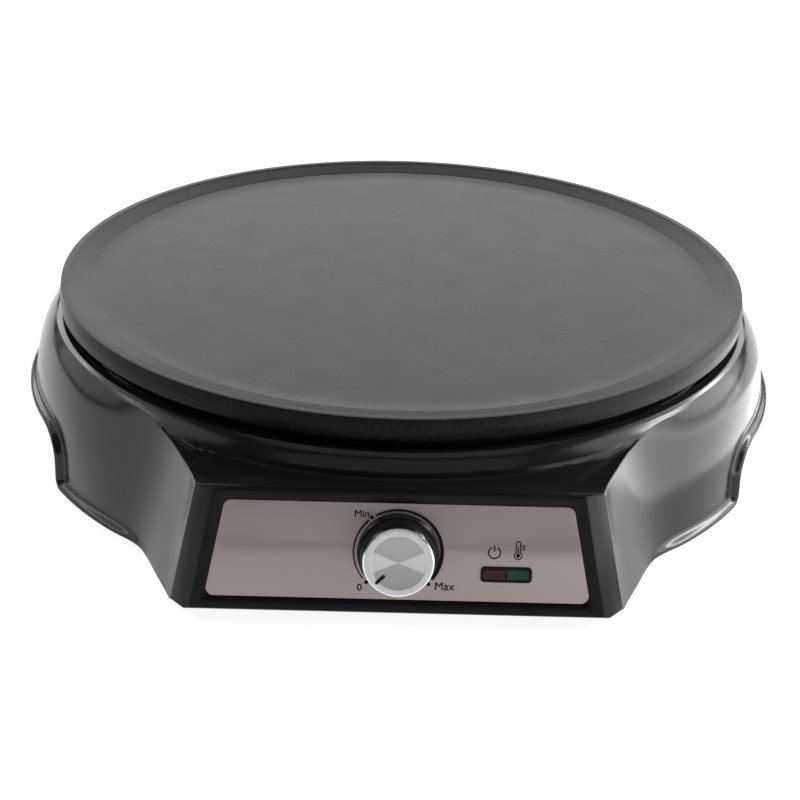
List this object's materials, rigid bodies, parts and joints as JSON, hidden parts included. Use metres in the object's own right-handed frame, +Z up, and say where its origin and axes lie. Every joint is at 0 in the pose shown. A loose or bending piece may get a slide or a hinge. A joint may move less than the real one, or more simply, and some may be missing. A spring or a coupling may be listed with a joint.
{
  "type": "electric crepe maker",
  "caption": "Round low-rimmed griddle plate on a flared black housing with side grips, and a front control box with a steel fascia, rotary temperature control and indicator window.",
  "frame": {"origin": "centre of the flat cooking surface", "axes": "+Z up out of the cooking surface, front with the control box towards -Y, +X to the right seen from the front"},
  "size_m": [0.3292, 0.3531, 0.074],
  "materials": {
    "griddle_coating": "non-stick coated cast aluminium, fine speckle",
    "housing_plastic": "glossy black moulded plastic",
    "panel_plastic": "semi-gloss black moulded plastic",
    "cover_plastic": "matt black moulded plastic",
    "brushed_fascia": "horizontally brushed",
    "knob_plastic": "black moulded plastic",
    "knob_aluminium": "turned, radial finish",
    "red_lens": "dark red translucent",
    "green_lens": "dark green translucent",
    "rubber_black": "matt",
    "zinc_steel": "zinc plated",
    "sheet_steel": "aluminised sheet",
    "element_sheath": "dull heat-tinted sheath",
    "ceramic_white": "unglazed",
    "brass_parts": "plain",
    "nylon_white": "moulded",
    "lamp_glass": "clear",
    "wire_sleeve": "silicone and glass sleeve",
    "thermostat_case": "moulded ceramic"
  },
  "bodies": {
    "base": {"griddle_plate": "griddle_coating", "heating_element": "element_sheath", "element_end_bushes": "ceramic_white", "element_tabs": "zinc_steel", "element_clamps": "sheet_steel", "element_clamp_screws": "zinc_steel", "reflector_pan": "sheet_steel", "plate_spacers": "zinc_steel", "plate_screws": "zinc_steel", "body_shell": "housing_plastic", "bottom_cover": "cover_plastic", "bottom_cover_screws": "zinc_steel", "rubber_feet": "rubber_black", "control_panel": "panel_plastic", "steel_fascia": "brushed_fascia", "thermostat_bracket": "sheet_steel", "thermostat_body": "thermostat_case", "thermostat_screws": "zinc_steel", "bracket_screws": "zinc_steel", "panel_screws": "zinc_steel", "indicator_frame": "panel_plastic", "power_lens": "red_lens", "heat_lens": "green_lens", "lamp_holder": "nylon_white", "neon_lamps": "lamp_glass", "temperature_sensor": "brass_parts", "sensor_clip": "sheet_steel", "sensor_screw": "zinc_steel", "thermal_fuse": "zinc_steel", "fuse_clip": "sheet_steel", "terminal_block": "nylon_white", "terminal_block_screws": "zinc_steel", "cord_bushing": "rubber_black", "cord_clamp": "nylon_white", "cord_clamp_screws": "zinc_steel", "earth_screw": "brass_parts", "internal_wiring": "wire_sleeve"},
    "temperature_knob": {"knob_body": "knob_plastic", "knob_cap": "knob_aluminium", "knob_spring": "zinc_steel", "thermostat_shaft": "zinc_steel"}
  },
  "joints": [
    {"name": "temperature_knob_turn", "type": "hinge", "parent": "base", "child": "temperature_knob", "pos_m": [0, -0.17424, -0.04103], "axis": [0, 0.9848, -0.1736], "range_deg": [0, 271]}
  ]
}
